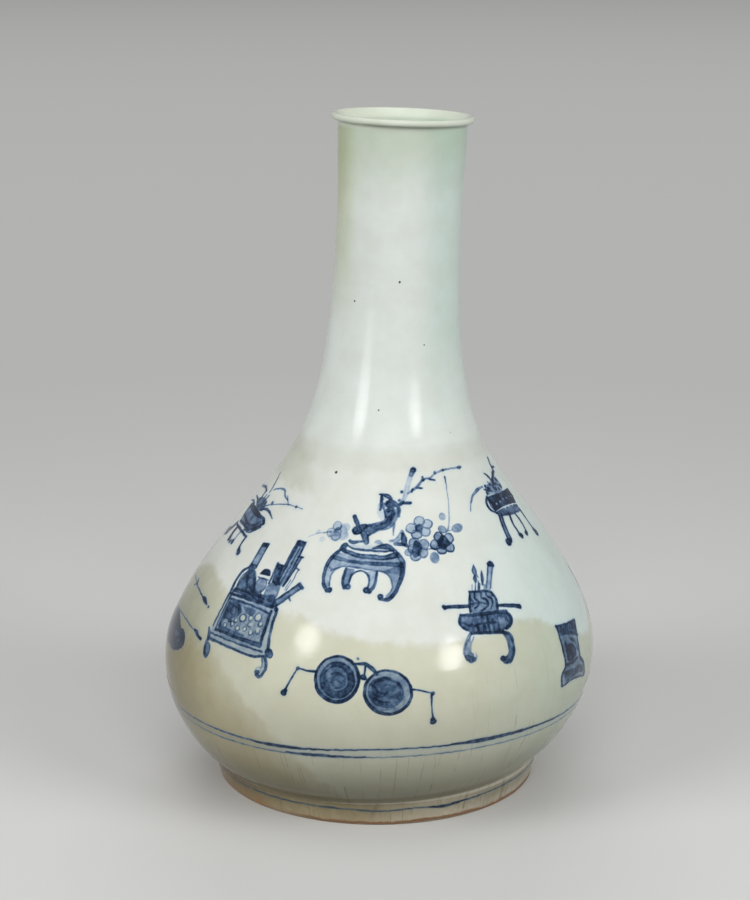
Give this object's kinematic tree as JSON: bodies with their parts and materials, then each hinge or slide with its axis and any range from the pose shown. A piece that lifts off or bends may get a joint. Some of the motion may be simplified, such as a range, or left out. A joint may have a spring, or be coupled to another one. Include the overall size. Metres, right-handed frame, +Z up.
{
  "type": "porcelain bottle",
  "caption": "Free-standing porcelain bottle: low round belly, long slightly flared neck with a rolled lip, turned foot; blue painted desk implements under a bluish glaze.",
  "frame": {"origin": "on the ground, under the middle of the belly's widest ring", "axes": "+Z up along the bottle's height; +X the way the neck leans; the pictured side faces -Y"},
  "size_m": [0.2288, 0.2288, 0.3511],
  "materials": {
    "body_glaze": "glossy clear glaze, bluish white above, stained ivory below, fine crackle and iron specks",
    "foot_glaze": "thin stained glaze on the foot wall, bare biscuit burnt orange brown at the rim",
    "base_glaze": "uneven glaze with kiln grit on the recessed base",
    "cobalt": "cobalt blue brush painting under the glaze, from pale wash to blue-black"
  },
  "bodies": {
    "root": {"foot_ring": "foot_glaze", "base_disc": "base_glaze", "lower_body": "body_glaze", "upper_body": "body_glaze", "neck": "body_glaze", "lip": "body_glaze"}
  },
  "joints": []
}
